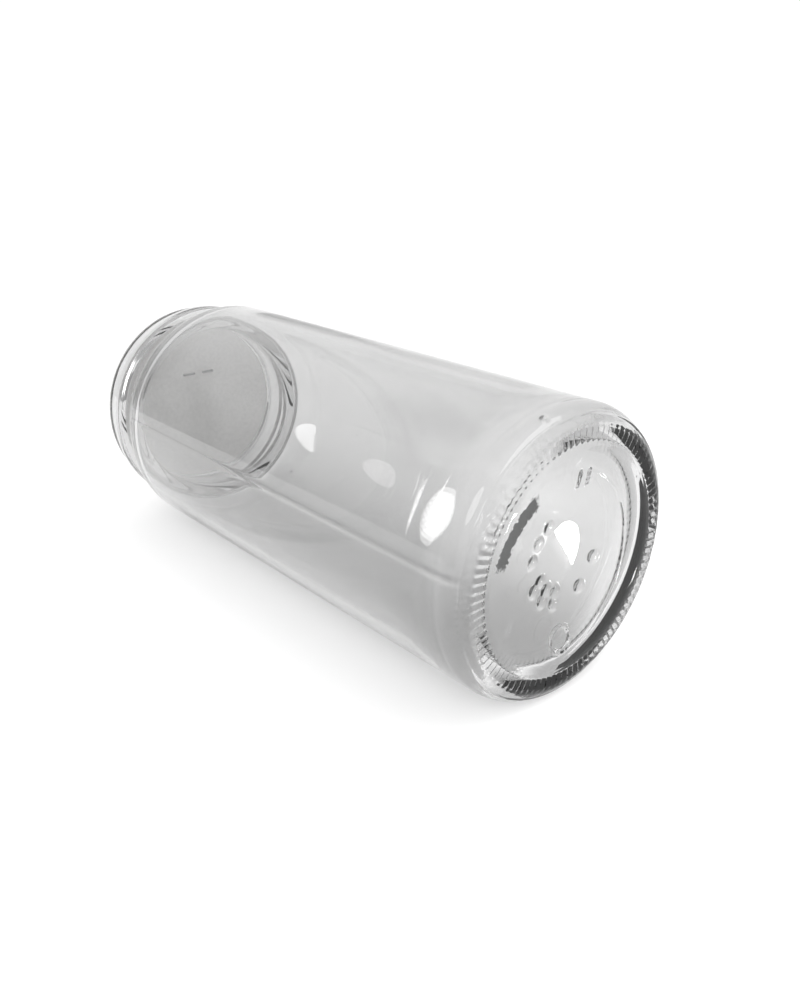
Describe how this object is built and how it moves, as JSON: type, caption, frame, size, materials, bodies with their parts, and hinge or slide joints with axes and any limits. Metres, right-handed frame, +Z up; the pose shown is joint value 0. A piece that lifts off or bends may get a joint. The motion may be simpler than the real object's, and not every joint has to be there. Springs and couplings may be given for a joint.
{
  "type": "glass milk bottle",
  "caption": "Clear glass milk bottle with a straight body, short shoulder, wide beaded mouth and knurled base, closed by a paper disc with a pull tab.",
  "frame": {"origin": "centre of the base, on the surface that the bottle stands on", "axes": "+Z up the bottle's axis to the mouth, +X along the pull tab's hinge, +Y along the resting pull tab"},
  "size_m": [0.072, 0.072, 0.168],
  "materials": {
    "clear_glass": "clear, fire-polished flint glass",
    "waxed_board": "waxed paperboard",
    "tab_paper": "folded waxed paper",
    "staple_wire": "bright drawn wire"
  },
  "bodies": {
    "bottle": {"glass_bottle": "clear_glass"},
    "cap": {"cap_disc": "waxed_board", "tab_staple": "staple_wire"},
    "tab": {"pull_tab": "tab_paper"}
  },
  "joints": [
    {"name": "cap_lift", "type": "slide", "parent": "bottle", "child": "cap", "axis": [0, 0, 1], "range_m": [0, 0.065]},
    {"name": "tab_lift", "type": "hinge", "parent": "cap", "child": "tab", "pos_m": [0, -0.01, 0.1643], "axis": [1, 0, 0], "range_deg": [0, 110]}
  ]
}
